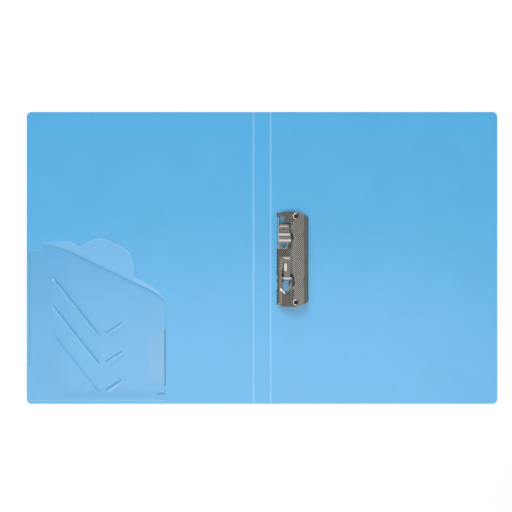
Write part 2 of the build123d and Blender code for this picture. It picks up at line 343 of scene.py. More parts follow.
def thicken(obj, depth):
    """Gives a flat piece a thickness downwards, with its faces turned outwards."""
    choose(obj, "polygons")
    bpy.ops.mesh.extrude_region_move(TRANSFORM_OT_translate={"value": (0, 0, -depth * MM)})
    bpy.ops.mesh.select_all(action="SELECT")
    bpy.ops.mesh.normals_make_consistent(inside=False)


def panel(low_x, high_x, rounded_side):
    """A sheet between two X places, with its rims softened and its corners on one side rounded."""
    obj = flat(low_x, high_x, SHEET)
    if rounded_side:
        choose(obj, "vertices", lambda v: v.co.x * rounded_side > (FREE_EDGE - 1) * MM)
        bpy.ops.mesh.bevel(offset=CORNER_RADIUS * MM, segments=CORNER_STEPS, affect="VERTICES")
    thicken(obj, SHEET)
    softened(obj, bpy.context.scene.folder.rim, angle=60)
    return obj


def drill(sheet, spot, radius, depth):
    """Cuts a round recess or hole into a sheet from below."""
    clear_selection()
    bpy.ops.mesh.primitive_cylinder_add(
        vertices=48, radius=radius * MM, depth=2 * depth * MM, location=(spot.x, spot.y, 0))
    cutter = bpy.context.object
    modified(sheet, "BOOLEAN", operation="DIFFERENCE", object=cutter)
    take_up(cutter)
    bpy.ops.object.delete()


class FOLDER_OT_covers(bpy.types.Operator):
    """Builds both covers and the spine."""
    bl_idname = "folder.covers"
    bl_label = "Covers and spine"

    def execute(self, context):
        folder = context.scene.folder
        sheet = folder_material("folder_sheet", folder.sheet_blue, folder)
        front = panel(-FREE_EDGE, -INNER_EDGE, -1)
        finished(front, "front_cover_sheet", "front_cover", ["front_cover"],
                 sheet, angle=15)
        spine = panel(-SPINE_EDGE, SPINE_EDGE, 0)
        finished(spine, "spine_sheet", "spine", ["spine_panel"], sheet,
                 angle=15)
        back = panel(INNER_EDGE, FREE_EDGE, 1)
        for rivet in ("upper_rivet", "lower_rivet"):
            low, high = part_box(rivet)
            drill(back, (low + high) / 2, RECESS_RADIUS, RECESS_DEPTH)
            drill(back, (low + high) / 2, RIVET_HOLE_RADIUS, 2 * SHEET)
        finished(back, "back_cover_sheet", "back_cover", ["back_cover"],
                 sheet, angle=15)
        return {"FINISHED"}


class FOLDER_OT_creases(bpy.types.Operator):
    """Builds the thinned creases, each of two flat strips cut across into narrow parts, from the
    crease's middle to just past a bend line.
    """
    bl_idname = "folder.creases"
    bl_label = "Creases"

    def execute(self, context):
        folder = context.scene.folder
        pale = folder_material("folder_crease", folder.crease_blue, folder)
        for side, crease, cover in (
                (1, "back_crease", "back_cover"), (-1, "front_crease", "front_cover")):
            for part, bend_x, joined, away in (
                    ("outer", OUTER_BEND, cover, 1), ("inner", INNER_BEND, "spine", -1)):
                near = CREASE_MIDDLE * side
                far = (bend_x + away * (BEND_HALF + STRIP_TONGUE)) * side
                strip = flat(min(near, far), max(near, far), CREASE_HIGH)
                choose(strip, "polygons")
                places = [near + (far - near) * n / STRIP_PARTS for n in range(1, STRIP_PARTS)]
                cut_chosen([(place * MM, 0, 0) for place in places], (1, 0, 0))
                thicken(strip, CREASE_HIGH - CREASE_LOW)
                finished(strip, f"{crease}_{part}_strip", None, [crease],
                         pale, angle=50)
                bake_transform(strip)
        return {"FINISHED"}


# Pocket. Its places are in millimetres from the front cover's free edge and bottom edge, and a
# point's third number says whether the outline runs smoothly through it
POCKET_OUTLINE = (
    (2.6, 2.6, 0), (145.4, 2.6, 0), (145.4, 104.7, 0), (144.3, 110.6, 1), (140.2, 116.4, 1),
    (134.6, 121.5, 1), (124.4, 127.2, 1), (111.8, 132.8, 0), (112.5, 140.5, 1), (111.6, 150.0, 1),
    (106.6, 159.8, 1), (95.2, 167.0, 1), (76.5, 173.5, 1), (65.5, 169.8, 1), (56.8, 164.3, 0),
    (51.0, 167.6, 1), (46.2, 169.8, 1), (40.0, 170.4, 1), (15.4, 169.4, 0), (14.3, 160.9, 0),
    (2.6, 161.2, 0))
SCORE = ((13.0, 166.9), (28.0, 165.9), (45.7, 159.6), (111.6, 127.6), (126.0, 120.8),
         (135.1, 115.7), (146.0, 106.7))
CHEVRONS = tuple(
    ((x0, y0 - drop), (x1, y1 - drop), share, upper)
    for drop, share_left in ((0.0, 1.0), (29.9, 1.0), (59.8, 0.55))
    for x0, y0, x1, y1, share, upper in (
        (27.8, 131.8, 75.1, 72.5, share_left, 1.1), (83.5, 73.0, 100.3, 84.0, 1.0, 1.9)))
CHEVRON_LOWER = 2.5
CHEVRON_END = 2.0
SCORE_HALF = 0.7
FLAP_LOW = 18.4
FLAP_HIGH = 77.2
FLAP_INNER = 127.0
FLAP_SLANT = 6.0
POCKET_RIGHT = 145.4
TAB_SPAN = (56.8, 111.8)
SLOT_SPAN = (137.0, 144.4)
SLOT_RISE = (10.0, 11.0)
SLOT_LIP = 0.5
WELD_COLUMNS = (2.7, 3.1, 3.8, 4.2)
WELD_ROWS = (40.35, 160.7)
WELD_PITCH = 1.2
WELD_BUMP = 0.12
WELD_LEVEL = SHEET + 0.03
RAISED_LEVEL = 2.45
EDGE_BAND = 0.8
# How far from a line, a weld row or the slot the faces lie that a cut may split
NEARBY = 9.0

# The film's rise from its welds, across and up: where it starts, and how far it takes
RISE_START = (4.0, 2.8)
RISE_REACH = (48.0, 15.4)
# The film's slow waves: their height, and their lengths and starts
WAVE_HEIGHT = 0.10
WAVES = ((13, 1.3), (17, 0.4))
SCORE_DEPTH = 0.28
MOUTH_RISE = (0.045, 0.0011)

# Places of the cuts that let the film follow its rise and its waves
FILM_COLUMNS = [5 + 1.7 * n for n in range(11)] + [24 + 8.1 * n for n in range(15)]
FILM_COLUMNS += [x for x, _ in SCORE[1:-1]]
FILM_ROWS = [2.8 + 0.75 * n for n in range(9)] + [12 + 8.1 * n for n in range(20)]
FILM_ROWS += [FLAP_LOW, FLAP_HIGH]

FILM_CLOUDS = 55.0
FILM_CLOUD_SHARE = 0.15
FILM_GRAIN = 260.0
FILM_RELIEF = (0.3, 0.00002)
HAZE_ROUGHNESS = 0.4
MIRROR_ROUGHNESS = 0.24

# The film's finishes: the share of light that passes one face, the colour of its haze, and how
# its gloss compares with the rest of the film
FILM_FINISHES = {
    "pocket_film": (0.966, (0.1, 0.26, 0.37), 1.0),
    # edge: a whiter, less clear band, a painted highlight along the film's cut edge and round the
    # slit.
    "pocket_edge": (0.87, (0.52, 0.86, 1.0), 1.0),
    # lip and tab: a whiter haze beyond the scored line, partly a lighter film there and partly a
    # painted sheen.
    "pocket_lip": (0.968, (0.85, 0.98, 1.0), 1.4),
    "pocket_tab": (0.972, (0.66, 0.72, 0.8), 1.0),
    "pocket_flap": (0.945, (0.11, 0.1, 0.19), 1.0),
    "pocket_bend": (0.999, (0.5, 0.7, 0.9), 1.0),
    # fold: a darker, less clear band, painted shade along the film's folded right edge.
    "pocket_fold": (0.92, (0.05, 0.28, 0.5), 1.0),
    # press and faint: darker, painted shade on the upper side of each pressed chevron and just
    # below the scored line. shine: whiter and glossier, a painted highlight on the lower side of
    # each chevron, just above the scored line, and on every other weld cell.
    "pocket_press": (0.8, (0.01, 0.22, 0.44), 1.0),
    "pocket_faint": (0.9, (0.02, 0.22, 0.44), 1.0),
    "pocket_shine": (0.89, (0.4, 0.93, 1.0), 2.0),
    "pocket_weld": (0.66, (0.06, 0.26, 0.48), 1.0),
    # slit: a dark, less clear finish, painted shade where the slit is, which is not opened.
    "pocket_slit": (0.72, (0.03, 0.12, 0.24), 1.0),
}


def in_slot(x, y, margin):
    """True for a place in the slot, or within a margin of it."""
    wide = SLOT_SPAN[0] - margin < x < SLOT_SPAN[1] + margin
    return wide and SLOT_RISE[0] - margin < y < SLOT_RISE[1] + margin


def ease(t):
    """Rises smoothly from 0 to 1 as t does."""
    t = min(1.0, max(0.0, t))
    return t * t * (3 - 2 * t)


def from_corner(x, y):
    """X and Y in metres of a place given from the front cover's free edge and bottom edge."""
    return ((x - FREE_EDGE) * MM, (y - HALF_HEIGHT) * MM)


def on_cover(co):
    """A place's distances from the front cover's free edge and bottom edge, in millimetres."""
    return co.x / MM + FREE_EDGE, co.y / MM + HALF_HEIGHT


def above_score(x, y):
    """How far a place lies beyond the pocket's scored line, towards the mouth."""
    points = list(zip(SCORE, SCORE[1:]))
    (x0, y0), (x1, y1) = next((pair for pair in points if x <= pair[1][0]), points[-1])
    slope = (y1 - y0) / (x1 - x0)
    return (y - y0 - slope * (x - x0)) / math.hypot(1, slope)


def beside(x, y, start, end):
    """A place's distance sideways from a line, and how far inside the line's nearer end it lies."""
    run = Vector(end) - Vector(start)
    length = run.length
    run.normalize()
    offset = Vector((x, y)) - Vector(start)
    along = offset.dot(run)
    return offset.x * run.y - offset.y * run.x, min(along, length - along)


def film_height(x, y, depth):
    """Height of the film's underside: low at its welds, raised elsewhere, and pressed."""
    free = 1
    wave = WAVE_HEIGHT
    for place, start, reach, (length, shift) in zip((x, y), RISE_START, RISE_REACH, WAVES):
        free *= ease((place - start) / reach)
        wave *= math.sin(place / length + shift)
    height = WELD_LEVEL + free * (RAISED_LEVEL - WELD_LEVEL + wave)
    if WELD_COLUMNS[0] < x < WELD_COLUMNS[-1] and WELD_ROWS[0] < y < WELD_ROWS[1]:
        height += WELD_BUMP * max(0, math.cos(math.pi * y / WELD_PITCH))
    for start, end, share, upper in CHEVRONS:
        across, inside = beside(x, y, start, end)
        width = CHEVRON_LOWER if across > 0 else upper
        if abs(across) < width and inside > 0:
            height -= depth * share * (1 - abs(across) / width) * ease(inside / CHEVRON_END)
    over = above_score(x, y)
    height -= SCORE_DEPTH * max(0, 1 - abs(over) / SCORE_HALF)
    if over > 0:
        height += MOUTH_RISE[0] * over + MOUTH_RISE[1] * over * over
    return height


def film_material(name, film_gloss, see_through, haze, glossier):
    """Clear film: mostly see-through, with a little haze and a soft mirror on its outside."""
    material, tree, shader = new_material(name)
    place = node(tree, "ShaderNodeTexCoord", {}, "Object")
    clouds = noise(tree, place, FILM_CLOUDS, 3.0)
    relief = bumped(tree, noise(tree, place, FILM_GRAIN, 2.0), *FILM_RELIEF)
    feed(tree, shader, {
        "Base Color": clouded(tree, haze, FILM_CLOUD_SHARE, clouds),
        "Roughness": HAZE_ROUGHNESS,
        "Normal": relief})
    clear = node(tree, "ShaderNodeBsdfTransparent", {})
    body = node(tree, "ShaderNodeMixShader", {
        "Fac": see_through, 1: shader.outputs["BSDF"], 2: clear})
    mirror = node(tree, "ShaderNodeBsdfGlossy", {"Roughness": MIRROR_ROUGHNESS, "Normal": relief})
    fresnel = node(tree, "ShaderNodeFresnel", {"IOR": PLASTIC_IOR})
    inside = node(tree, "ShaderNodeNewGeometry", {}, "Backfacing")
    outside = maths(tree, "SUBTRACT", 1.0, inside)
    share = maths(tree, "MULTIPLY", fresnel, outside)
    share = maths(tree, "MULTIPLY", share, film_gloss * glossier)
    coat = node(tree, "ShaderNodeMixShader", {"Fac": share, 1: body, 2: mirror})
    feed(tree, tree.nodes["Material Output"], {"Surface": coat})
    return material


def cut_across(x, y, direction):
    """Cuts the film's chosen faces along an upright plane through one place."""
    bpy.ops.mesh.bisect(plane_co=(*from_corner(x, y), 0), plane_no=(*direction, 0))


class FOLDER_OT_pocket(bpy.types.Operator):
    """Builds the pocket's film: mouth, thumb tab, pressed chevrons, and the flap folded under."""
    bl_idname = "folder.pocket"
    bl_label = "Pocket"

    def execute(self, context):
        pocket = context.scene.pocket
        film = self.outline()
        self.cut(film)
        depth = pocket.press_depth / MM
        for vertex in film.data.vertices:
            vertex.co.z = film_height(*on_cover(vertex.co), depth) * MM
        self.fold_flap(film)
        names = list(FILM_FINISHES)
        for name in names:
            material = film_material(name, pocket.film_gloss, *FILM_FINISHES[name])
            film.data.materials.append(material)
        for face in film.data.polygons:
            face.material_index = names.index(self.finish(face))
        modified(film, "SOLIDIFY", thickness=pocket.film_thickness, offset=1.0)
        film.name = film.data.name = "pocket_film_sheet"
        take_up(film)
        bpy.ops.object.shade_smooth_by_angle(angle=math.radians(40))
        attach(film, "front_cover")
        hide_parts("pocket_sheet")
        return {"FINISHED"}

    def finish(self, face):
        """Which of the film's finishes a face has."""
        x, y = on_cover(face.center)
        low = face.center.z < (WELD_LEVEL + 0.05) * MM
        if x > FLAP_INNER and FLAP_LOW < y < FLAP_HIGH and low:
            return "pocket_flap"
        if x > POCKET_RIGHT:
            return "pocket_bend"
        # The band along the folded right edge gets painted shade.
        if x > POCKET_RIGHT - EDGE_BAND:
            return "pocket_fold"
        # Weld cells alternate between the dark weld marks and the painted highlight.
        if x < WELD_COLUMNS[-1] and WELD_ROWS[0] < y < WELD_ROWS[1]:
            odd = int((y - WELD_ROWS[0]) / WELD_PITCH) % 2
            return "pocket_shine" if odd else "pocket_weld"
        # The slit itself is not opened; it gets painted shade.
        if in_slot(x, y, 0):
            return "pocket_slit"
        # The band along the film's cut edge and the lip round the slit get a painted highlight.
        if in_slot(x, y, SLOT_LIP) or face.material_index:
            return "pocket_edge"
        # Each pressed chevron gets painted shade on its upper side and, unless faint, a painted
        # highlight on its lower side; the scored line gets painted shade below it and a painted
        # highlight above it.
        for start, end, share, upper in CHEVRONS:
            across, inside = beside(x, y, start, end)
            if inside > 0 and -upper < across < CHEVRON_LOWER:
                if share < 1:
                    return "pocket_faint" if across < 0 else "pocket_film"
                return "pocket_press" if across < 0 else "pocket_shine"
        over = above_score(x, y)
        if abs(over) < SCORE_HALF:
            return "pocket_press" if over < 0 else "pocket_shine"
        if over > 0:
            # Beyond the scored line the lip and the thumb tab get the whiter haze, partly a painted
            # sheen.
            return "pocket_tab" if TAB_SPAN[0] < x < TAB_SPAN[1] else "pocket_lip"
        return "pocket_film"

    def outline(self):
        """The film's outline as one face with a narrow band along its edge."""
        curve = bpy.data.curves.new("outline", "CURVE")
        curve.dimensions = "2D"
        curve.fill_mode = "NONE"
        curve.resolution_u = 6
        spline = curve.splines.new("BEZIER")
        spline.bezier_points.add(len(POCKET_OUTLINE) - 1)
        spline.use_cyclic_u = True
        for point, (x, y, smooth) in zip(spline.bezier_points, POCKET_OUTLINE):
            point.co = (*from_corner(x, y), 0)
            point.handle_left_type = point.handle_right_type = "AUTO" if smooth else "VECTOR"
        film = bpy.data.objects.new("pocket_outline", curve)
        bpy.context.scene.collection.objects.link(film)
        take_up(film)
        bpy.ops.object.convert(target="MESH")
        film = bpy.context.object
        choose(film, "vertices")
        bpy.ops.mesh.remove_doubles(threshold=0.00005)
        bpy.ops.mesh.select_all(action="SELECT")
        bpy.ops.mesh.edge_face_add()
        bpy.ops.mesh.select_mode(type="FACE")
        bpy.ops.mesh.select_all(action="SELECT")
        bpy.ops.mesh.inset(thickness=EDGE_BAND * MM)
        bpy.ops.object.mode_set(mode="OBJECT")
        inner = max(face.area for face in film.data.polygons)
        for face in film.data.polygons:
            face.material_index = int(face.area < inner)
        return film

    def cut(self, film):
        """Cuts the film's face along every line where its height changes."""
        choose(film, "polygons")
        bpy.ops.mesh.quads_convert_to_tris()
        for places, direction in ((FILM_COLUMNS, (1, 0)), (FILM_ROWS, (0, 1))):
            for place in places:
                bpy.ops.mesh.select_all(action="SELECT")
                cut_across(place, place, direction)
        for start, end, _, upper in CHEVRONS:
            self.cut_beside(film, start, end, (-upper, 0, CHEVRON_LOWER))
        for start, end in zip(SCORE, SCORE[1:]):
            self.cut_beside(film, start, end, (-SCORE_HALF, 0, SCORE_HALF))
        self.cut_welds(film)
        self.cut_slot(film)

    def cut_welds(self, film):
        """Cuts the left edge into the fine cells that its weld marks need."""
        low, high = WELD_ROWS

        def on_flange(face, start=-1.0):
            x, y = on_cover(face.center)
            return start < x < WELD_COLUMNS[-1] + 1 and low - NEARBY < y < high + 1

        for x in WELD_COLUMNS:
            choose(film, "polygons", on_flange)
            cut_across(x, 0, (1, 0))
        choose(film, "polygons", lambda face: on_flange(face, WELD_COLUMNS[0]))
        count = int((high - low) / WELD_PITCH)
        places = [(*from_corner(0, low + WELD_PITCH * n), 0) for n in range(count + 1)]
        cut_chosen(places, (0, 1, 0))
        bpy.ops.object.mode_set(mode="OBJECT")

    def cut_slot(self, film):
        """Cuts the film's faces along the edges of the slot near the pocket's lower right corner,
        and of a band round it.
        """
        for lip in (SLOT_LIP, 0):
            for places, direction in ((SLOT_SPAN, (1, 0)), (SLOT_RISE, (0, 1))):
                for place, away in zip(places, (-1, 1)):
                    choose(film, "polygons", lambda f: in_slot(*on_cover(f.center), NEARBY))
                    cut_across(place + away * lip, place + away * lip, direction)
        bpy.ops.object.mode_set(mode="OBJECT")

    def cut_beside(self, film, start, end, offsets):
        """Cuts the faces around one line at distances across it, and at its ends."""
        start, end = Vector(start), Vector(end)
        run = (end - start).normalized()
        side = Vector((run.y, -run.x))

        def near(face):
            across, inside = beside(*on_cover(face.center), start, end)
            return abs(across) < NEARBY and inside > -NEARBY / 3

        cuts = [(start + side * offset, side) for offset in offsets]
        cuts += [(tip + run * step, run) for tip in (start, end)
                 for step in (-CHEVRON_END, 0.0, CHEVRON_END)]
        for place, direction in cuts:
            choose(film, "polygons", near)
            cut_across(*place, direction)

    def fold_flap(self, film):
        """Folds the film round at its right edge and under the pocket's front."""
        edge_x = (POCKET_RIGHT - FREE_EDGE) * MM
        low, high = ((y - HALF_HEIGHT) * MM for y in (FLAP_LOW, FLAP_HIGH))
        hair = 1e-5

        def on_fold(edge):
            a, b = (film.data.vertices[i].co for i in edge.vertices)
            straight = abs(a.x - edge_x) < hair and abs(b.x - edge_x) < hair
            return straight and min(a.y, b.y) > low - hair and max(a.y, b.y) < high + hair

        choose(film, "edges", on_fold)
        top = RAISED_LEVEL * MM
        drop = (RAISED_LEVEL - WELD_LEVEL) * MM
        bpy.ops.mesh.extrude_edges_move(TRANSFORM_OT_translate={"value": (0, 0, 0)})
        middle = (edge_x, 0, top - drop / 2)
        bpy.ops.mesh.spin(steps=8, angle=math.pi, center=middle, axis=(0, 1, 0))
        reach = (FLAP_INNER - POCKET_RIGHT) * MM
        bpy.ops.mesh.extrude_edges_move(TRANSFORM_OT_translate={"value": (reach, 0, 0)})
        narrower = 1 - 2 * FLAP_SLANT / (FLAP_HIGH - FLAP_LOW)
        centre = (edge_x + reach, (low + high) / 2, top - drop)
        bpy.ops.transform.resize(value=(1, narrower, 1), center_override=centre)
        bpy.ops.object.mode_set(mode="OBJECT")
        bpy.ops.object.mode_set(mode="EDIT")
        bpy.ops.mesh.select_all(action="SELECT")
        bpy.ops.mesh.remove_doubles(threshold=1e-6)
        bpy.ops.mesh.normals_make_consistent(inside=False)
        bpy.ops.object.mode_set(mode="OBJECT")


# Clip. Inside it, u runs like X and v like Y, in millimetres from its middle
LIP_U = 16.4
CLIP_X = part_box("clamp_plate")[1].x / MM - LIP_U
CLIP_Y = (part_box("clamp_plate")[0].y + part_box("clamp_plate")[1].y) / 2 / MM
CLIP_BASE = SHEET + 1.0
JAW_LINE = (
    (LIP_U, CLIP_BASE), (12.4, CLIP_BASE + 10.4), (0.6, CLIP_BASE + 10.9),
    (-2.4, CLIP_BASE + 6.2), (-16.1, CLIP_BASE + 6.2))
LEVER_LINE = (
    (37.2, CLIP_BASE + 11.4), (36.4, CLIP_BASE + 13.0), (23.0, CLIP_BASE + 13.4),
    (10.8, CLIP_BASE + 13.1), (1.2, CLIP_BASE + 8.5), (-20.0, CLIP_BASE + 8.5))
# The embossed pattern: its pitch, and where it starts along and across each plate
DIAMOND_PITCH = 1.04
JAW_START = (0.46, 0.24)
LEVER_START = (0.99, 0.46)
PLAIN_RELIEF = 0.55
BURR = 0.12
# Shaping of the clamping plate beyond its bends. A floor is the height over which it happens
CROWN = JAW_LINE[2]
# Span across the plate of the painted highlight by the crown
CROWN_SPAN = (-2.5, 1.0)
GENTLE_FOOT = (-12.0, CLIP_BASE + 6.2)
GENTLE_UPPER = (35.4, 37.9)
GENTLE_LOWER = (-27.0, -30.5)
GUSSETS = ((11.9, 26.6), (12.3, -21.4))
GUSSET_RADIUS = 2.6
GUSSET_DEPTH = 0.9
GUSSET_SLANT = 0.7
GUSSET_FLOOR = CLIP_BASE + 5.5
ROLL_START = -13.6
ROLL_WIDTH = 3.4
ROLL_DROP = 2.0
ROLL_FLOOR = CLIP_BASE + 5.1
HOLE_U = 2.5
HOLE_V = 44.8
HOLE_RADIUS = 2.2
RIM_REACH = 3.4
RIM_RISE = 0.5
RIM_FLOOR = CLIP_BASE + 10.3
# Reach of the painted highlight round each access hole, and how far across the plate it goes past
# the hole's middle
RIM_PAINTED_HIGHLIGHT = (2.9, 0.8)
# Places of the painted highlight: the lever's raised ribs, bead, ridge and hood, and a bevel of the
# clamping plate
RIB_PLACES = (34.2, 25.9, 19.4)
RIB_HALF = 0.9
RIB_FLOOR = CLIP_BASE + 13.0
PAINTED_HIGHLIGHT_LINE = ((-12.6, -30.8), (-8.2, -35.4))
PAINTED_HIGHLIGHT_HALF = 1.25
BEAD_SPOT = (-7.9, -8.4)
BEAD_HALF = (1.35, 4.25)
BEAD_FLOOR = CLIP_BASE + 8.6
RIDGE_SPAN = (0.2, 2.4)
HOOD_SPAN = (-21.2, -19.3)
# The thumb tab narrows by this share over this span
TAPER = 0.22
TAPER_SPAN = (16.0, 37.2)

# Levels of the pattern's height at which the painted shade in its hollows turns to the painted
# highlight on its crests, and how far tarnish shifts the brightness
PATTERN_EDGE = (0.4, 0.72)
TARNISH = 0.36
STEEL_CLOUDS = 160.0
STEEL_SCRATCHES = 900.0
STEEL_RELIEF = (0.25, 0.00003)
STEEL_ROUGHNESS_SPREAD = 0.07
PLATING_METAL = 0.65
BASE_ROUGHNESS = 0.34

# Further finishes of the clip: bright colour, dark colour, roughness, whether embossed, and how
# metallic
STEEL_FINISHES = {
    "wire_steel": ((0.3, 0.31, 0.33), (0.14, 0.15, 0.17), 0.3, False, 1.0),
    "pin_steel_finish": ((0.3, 0.36, 0.42), (0.18, 0.23, 0.28), 0.28, False, 1.0),
    "rivet_finish": ((0.07, 0.066, 0.062), (0.03, 0.028, 0.026), 0.42, False, 1.0),
    "jaw_front": ((0.5, 0.43, 0.31), (0.03, 0.03, 0.02), 0.5, True, 0.1),
    # A painted highlight on a bevel and round the holes of the clamping plate
    "jaw_worn": ((0.85, 0.75, 0.74), (0.6, 0.5, 0.5), 0.4, False, 0.5),
    # A brighter copy of the embossed plating: a painted highlight by the crown
    "jaw_crown": ((0.85, 0.82, 0.74), (0.05, 0.05, 0.04), 0.45, True, 0.3),
    # A brighter finish without the pattern: a painted highlight on the lever's ribs, bead, ridge
    # and hood
    "lever_ribs": ((0.45, 0.44, 0.41), (0.31, 0.3, 0.28), 0.4, False, 0.6),
}


def on_clip(co):
    """A place's u and v."""
    return co.x / MM - CLIP_X, co.y / MM - CLIP_Y


def copied(node_name, name):
    """A merged copy of a CAD node's mesh, with its flat faces whole again."""
    clear_selection()
    piece = bpy.data.objects.new(name, NODES[node_name].data.copy())
    bpy.context.scene.collection.objects.link(piece)
    take_up(piece)
    bpy.ops.mesh.customdata_custom_splitnormals_clear()
    choose(piece, "vertices")
    bpy.ops.mesh.remove_doubles(threshold=2e-6)
    bpy.ops.mesh.select_all(action="SELECT")
    bpy.ops.mesh.dissolve_limited(angle_limit=math.radians(0.4))
    bpy.ops.object.mode_set(mode="OBJECT")
    return piece


class BentLine:
    """The outer line of a bent sheet across its bends, with the distance along it of each bend."""

    def __init__(self, points, along_y):
        self.along = 1 if along_y else 0
        offset = CLIP_Y if along_y else CLIP_X
        self.points = [Vector((a + offset, z)) * MM for a, z in points]
        self.starts = [0.0]
        for a, b in zip(self.points, self.points[1:]):
            self.starts.append(self.starts[-1] + (b - a).length)

    def place(self, co):
        """The line's nearest run to a place, how far along the line that is, and how far away."""
        spot = Vector((co[self.along], co.z))
        found = []
        for number, (a, b) in enumerate(zip(self.points, self.points[1:])):
            run = b - a
            share = min(1, max(0, (spot - a).dot(run) / run.length_squared))
            found.append(((spot - a - run * share).length, number, share * run.length))
        away, number, reached = min(found)
        return number, self.starts[number] + reached, away

    def outward(self, number):
        """The direction away from the sheet on one run of the line."""
        run = (self.points[number + 1] - self.points[number]).normalized()
        out = Vector((0, 0, -run.x))
        out[self.along] = run.y
        return out


def emboss(piece, line, start, depth, near, turned=0.6):
    """Presses diamonds into a bent sheet's outer face, and keeps their height as an attribute."""
    mesh = piece.data
    across = 1 - line.along

    def on_face(face, only=None):
        number, _, away = line.place(face.center)
        if away > near * MM or (only is not None and number != only):
            return False
        return face.normal.dot(line.outward(number)) > turned

    step = DIAMOND_PITCH * MM
    begin, aside = (place * MM for place in start)
    for number, (a, b) in enumerate(zip(line.points, line.points[1:])):
        choose(piece, "polygons", lambda f: on_face(f, number))
        run = (b - a).normalized()
        first = math.ceil((line.starts[number] - begin) / step)
        last = math.floor((line.starts[number + 1] - begin) / step)
        direction = Vector((0, 0, run.y))
        direction[line.along] = run.x
        places = []
        for count in range(first, last + 1):
            spot = a + run * (begin + count * step - line.starts[number])
            place = Vector((0, 0, spot.y))
            place[line.along] = spot.x
            places.append(place)
        cut_chosen(places, direction)
    low, high = (corner[across] for corner in corners(piece))
    direction = Vector((0, 0, 0))
    direction[across] = 1
    choose(piece, "polygons", on_face)
    counts = range(math.ceil((low - aside) / step), math.floor((high - aside) / step) + 1)
    cut_chosen([direction * (aside + step * count) for count in counts], direction)

    whole = 0.9 * step * step
    choose(piece, "polygons", lambda f: len(f.vertices) == 4 and f.area > whole and on_face(f))
    bpy.ops.mesh.poke(offset=0)
    bpy.ops.object.mode_set(mode="OBJECT")

    touched = {index for face in mesh.polygons if on_face(face) for index in face.vertices}
    # This height later sets the painted shade and the painted highlight of the pattern.
    relief = mesh.attributes.new("relief", "FLOAT", "POINT")
    for index, vertex in enumerate(mesh.vertices):
        relief.data[index].value = PLAIN_RELIEF
        if index in touched:
            number, reached, _ = line.place(vertex.co)
            turns = (reached - begin) / step, (vertex.co[across] - aside) / step
            wave = math.cos(math.pi * turns[0]) * math.cos(math.pi * turns[1])
            relief.data[index].value = 0.5 + 0.5 * wave
            vertex.co += line.outward(number) * depth * MM * (wave - 1)


def corners(piece):
    """A piece's lowest and highest corners."""
    places = [vertex.co for vertex in piece.data.vertices]
    low = Vector([min(co[axis] for co in places) for axis in range(3)])
    high = Vector([max(co[axis] for co in places) for axis in range(3)])
    return low, high


def steel_material(name, bright, dark, roughness, embossed, metal):
    """Plated steel: tarnished in clouds, finely scratched, and, if embossed, with painted shade in
    the hollows of its pattern and a painted highlight on its crests.
    """
    material, tree, shader = new_material(name)
    place = node(tree, "ShaderNodeTexCoord", {}, "Object")
    clouds = shown = noise(tree, place, STEEL_CLOUDS, 4.0, 0.6)
    if embossed:
        # The pattern's height sets painted shade in the hollows and a painted highlight on the
        # crests.
        relief = node(tree, "ShaderNodeAttribute", {}, "Fac", attribute_name="relief")
        low, high = PATTERN_EDGE
        painted_pattern_shading = node(tree, "ShaderNodeMapRange", {
            "Value": relief, "From Min": low, "From Max": high}, interpolation_type="SMOOTHSTEP")
        tarnish = maths(tree, "MULTIPLY_ADD", clouds, TARNISH, -TARNISH / 2)
        shown = maths(tree, "ADD", painted_pattern_shading, tarnish, clamp=True)
    scratches = noise(tree, place, STEEL_SCRATCHES, 2.0)
    feed(tree, shader, {
        "Base Color": mixed(tree, dark, bright, shown),
        "Roughness": varied(tree, roughness, STEEL_ROUGHNESS_SPREAD, clouds),
        "Normal": bumped(tree, scratches, *STEEL_RELIEF),
        "Metallic": metal})
    return material


def plating(name, clip, roughness, embossed):
    """The plating of the clip's plates, in the colours that the settings give."""
    return steel_material(name, clip.bright, clip.dark, roughness, embossed, PLATING_METAL)


def steel_finish(name):
    """One of the clip's further finishes."""
    return steel_material(name, *STEEL_FINISHES[name])


def line_height(points, u):
    """Height of a bent line over one place."""
    for (u0, z0), (u1, z1) in zip(points, points[1:]):
        if min(u0, u1) <= u <= max(u0, u1):
            return z0 + (z1 - z0) * (u - u0) / (u1 - u0)
    return points[-1][1]


def ease_end(co):
    """Fills out the clamping plate's valley beyond the lever's ends, where it slopes gently."""
    u, v = on_clip(co)
    if GENTLE_FOOT[0] < u < CROWN[0]:
        share = max(
            ease((v - start) / (end - start)) for start, end in (GENTLE_UPPER, GENTLE_LOWER))
        rise = line_height((GENTLE_FOOT, CROWN), u) - line_height(JAW_LINE[2:], u)
        co.z += share * rise * MM


def roll_edge(co):
    """Rounds the clamping plate down along its hinge, where its curls start."""
    past = ROLL_START - on_clip(co)[0]
    if past > 0 and co.z > ROLL_FLOOR * MM:
        co.z -= ROLL_DROP * (past / ROLL_WIDTH) ** 2 * MM


def from_hole(u, v):
    """A place's distance from the middle of the nearer access hole."""
    return math.hypot(u - HOLE_U, abs(v) - HOLE_V)


def raise_rim(co):
    """Raises a soft rim round both access holes."""
    away = from_hole(*on_clip(co))
    if away < RIM_REACH and co.z > RIM_FLOOR * MM:
        co.z += RIM_RISE * MM * ease((RIM_REACH - away) / (RIM_REACH - HOLE_RADIUS))


def dimple(co):
    """Presses small gussets into a bend."""
    for u, v in GUSSETS:
        middle = Vector(((u + CLIP_X) * MM, (v + CLIP_Y) * MM))
        away = (co.xy - middle).length / MM / GUSSET_RADIUS
        if away < 1 and co.z > GUSSET_FLOOR * MM:
            press = GUSSET_DEPTH * MM * ease(1 - away)
            co.x -= GUSSET_SLANT * press
            co.z -= GUSSET_SLANT * press


